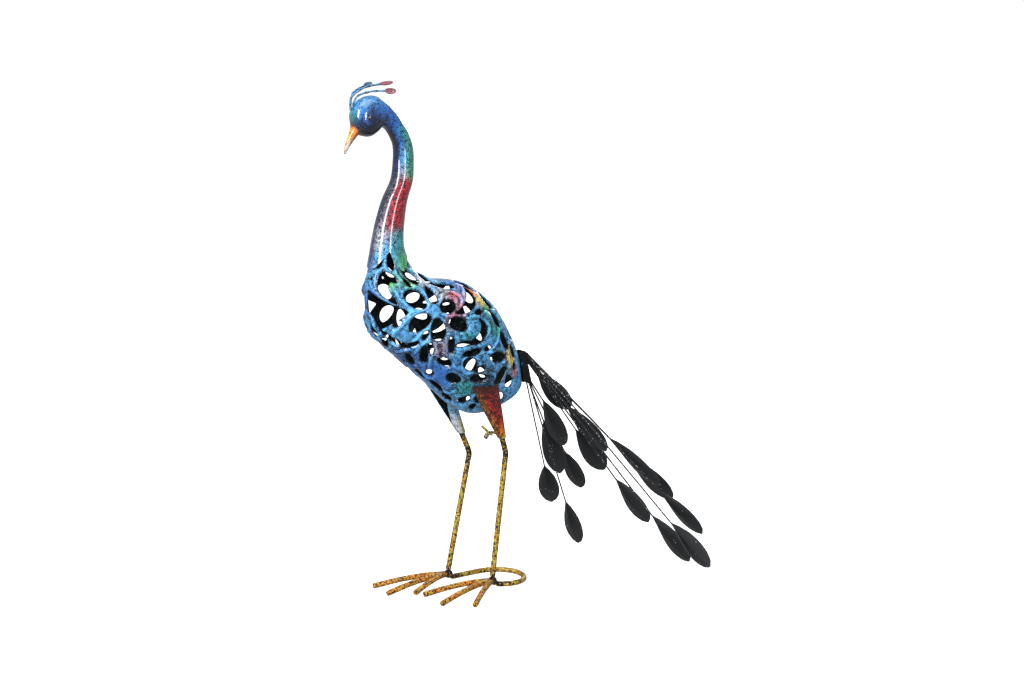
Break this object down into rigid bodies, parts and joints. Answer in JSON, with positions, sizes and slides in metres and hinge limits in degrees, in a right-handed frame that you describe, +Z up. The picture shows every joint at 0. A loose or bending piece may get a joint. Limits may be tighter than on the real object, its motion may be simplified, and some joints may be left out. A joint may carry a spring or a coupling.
{
  "type": "garden peacock figurine",
  "caption": "Striding garden peacock of pierced, pressed sheet metal on two rod legs with splayed toes, a steadying ground loop and a fan of wire-borne leaf-shaped tail feathers.",
  "frame": {"origin": "centre of the bounding box at the ground, under the bird", "axes": "+Z up, the head towards -X, the tail towards +X, the bird's left side towards -Y"},
  "size_m": [0.5222, 0.3494, 0.7275],
  "materials": {
    "blue_paint": "sponged sky-blue enamel over black with green, pink and yellow patches, clear gloss coat",
    "eye_gloss": "glossy black enamel bead",
    "red_paint": "rough hammered dark red running to orange and yellow",
    "gold_paint": "ochre and yellow mottled over black, satin",
    "graphite_paint": "charcoal with fine glitter"
  },
  "bodies": {
    "root": {"body_left_half": "blue_paint", "body_right_half": "blue_paint", "neck_and_head": "blue_paint", "crest_feather_left": "blue_paint", "crest_feather_centre": "blue_paint", "crest_feather_right": "blue_paint", "eye_left": "eye_gloss", "eye_right": "eye_gloss", "thigh_left": "red_paint", "thigh_right": "red_paint", "leg_left": "gold_paint", "leg_right": "gold_paint", "foot_left": "gold_paint", "foot_right": "gold_paint", "wing_screw_left": "gold_paint", "wing_screw_right": "gold_paint", "base_loop": "gold_paint", "tail_bracket": "graphite_paint", "tail_wire_left_1": "graphite_paint", "tail_leaf_left_1": "graphite_paint", "tail_wire_left_2": "graphite_paint", "tail_leaf_left_2": "graphite_paint", "tail_wire_left_3": "graphite_paint", "tail_leaf_left_3": "graphite_paint", "tail_wire_left_4": "graphite_paint", "tail_leaf_left_4": "graphite_paint", "tail_wire_left_5": "graphite_paint", "tail_leaf_left_5": "graphite_paint", "tail_wire_left_6": "graphite_paint", "tail_leaf_left_6": "graphite_paint", "tail_wire_centre_1": "graphite_paint", "tail_leaf_centre_1": "graphite_paint", "tail_wire_centre_2": "graphite_paint", "tail_leaf_centre_2": "graphite_paint", "tail_wire_centre_3": "graphite_paint", "tail_leaf_centre_3": "graphite_paint", "tail_wire_right_1": "graphite_paint", "tail_leaf_right_1": "graphite_paint", "tail_wire_right_2": "graphite_paint", "tail_leaf_right_2": "graphite_paint", "tail_wire_right_3": "graphite_paint", "tail_leaf_right_3": "graphite_paint", "tail_wire_right_4": "graphite_paint", "tail_leaf_right_4": "graphite_paint", "tail_wire_right_5": "graphite_paint", "tail_leaf_right_5": "graphite_paint"}
  },
  "joints": []
}
